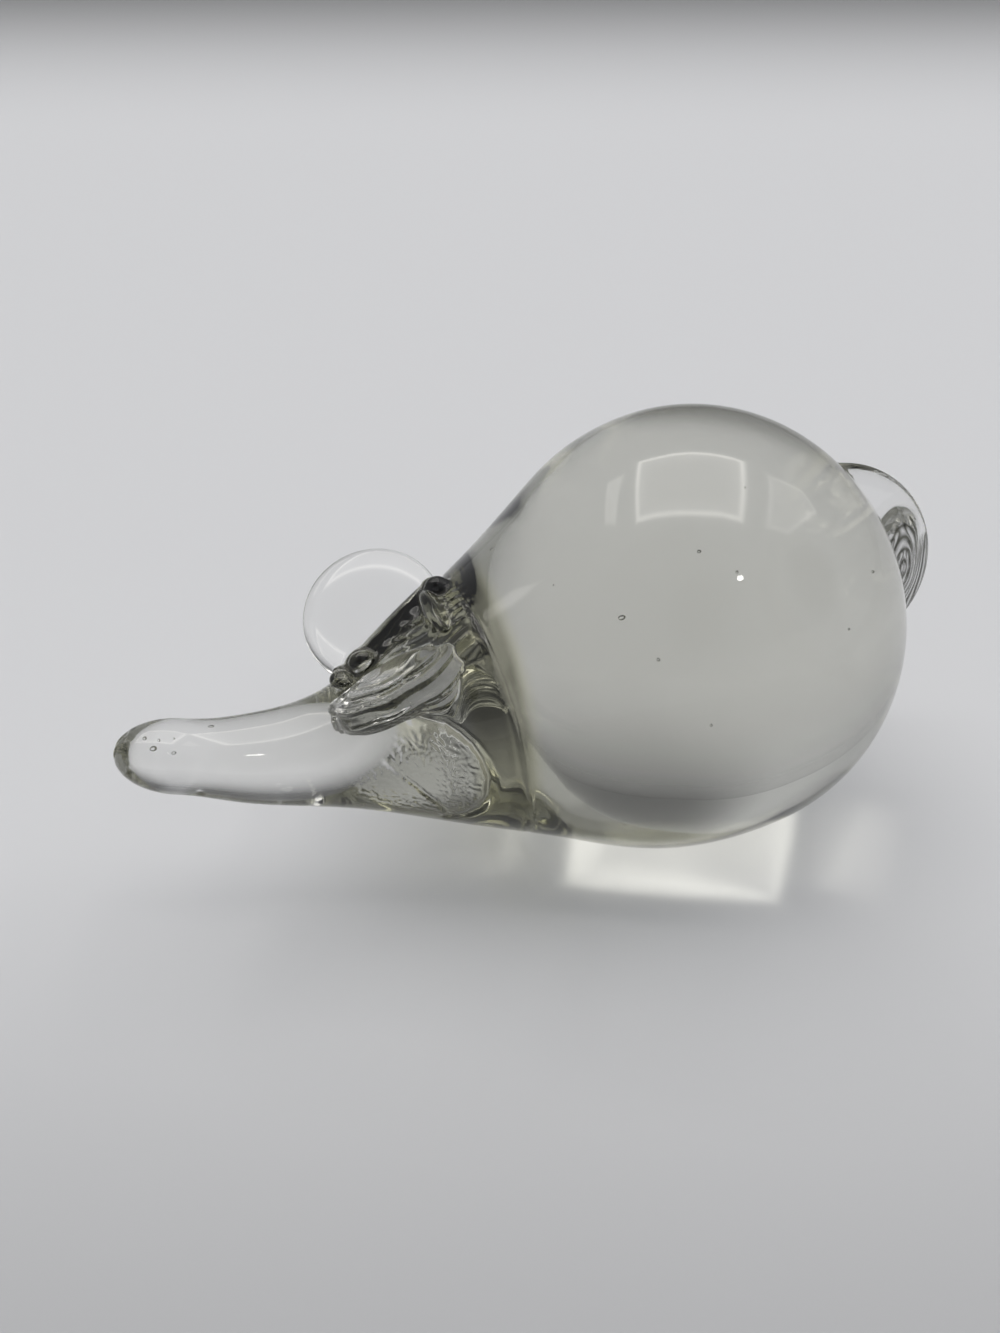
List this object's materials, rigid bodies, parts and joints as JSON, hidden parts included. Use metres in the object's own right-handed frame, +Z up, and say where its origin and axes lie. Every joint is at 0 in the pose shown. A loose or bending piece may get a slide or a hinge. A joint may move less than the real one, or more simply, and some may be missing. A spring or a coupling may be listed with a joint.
{
  "type": "glass mouse figurine",
  "caption": "Solid clear glass mouse paperweight: egg-shaped body drawn out into a long upturned snout, round pressed ears, oval fin tail and a flat ground base",
  "frame": {"origin": "middle of the flat ground base, on the surface that the mouse stands on", "axes": "+Z up, -X towards the nose, +X towards the rump, Y = 0 is the mirror plane, and the mouse's left is at -Y"},
  "size_m": [0.1305, 0.063, 0.0671],
  "materials": {
    "body_glass": "fire-polished clear glass with a faint grey-green tint",
    "ear_glass": "fire-polished clear glass, pressed flat",
    "tail_glass": "fire-polished clear glass, pinched and pressed flat"
  },
  "bodies": {
    "root": {"body": "body_glass", "ear_left": "ear_glass", "ear_right": "ear_glass", "tail": "tail_glass"}
  },
  "joints": []
}
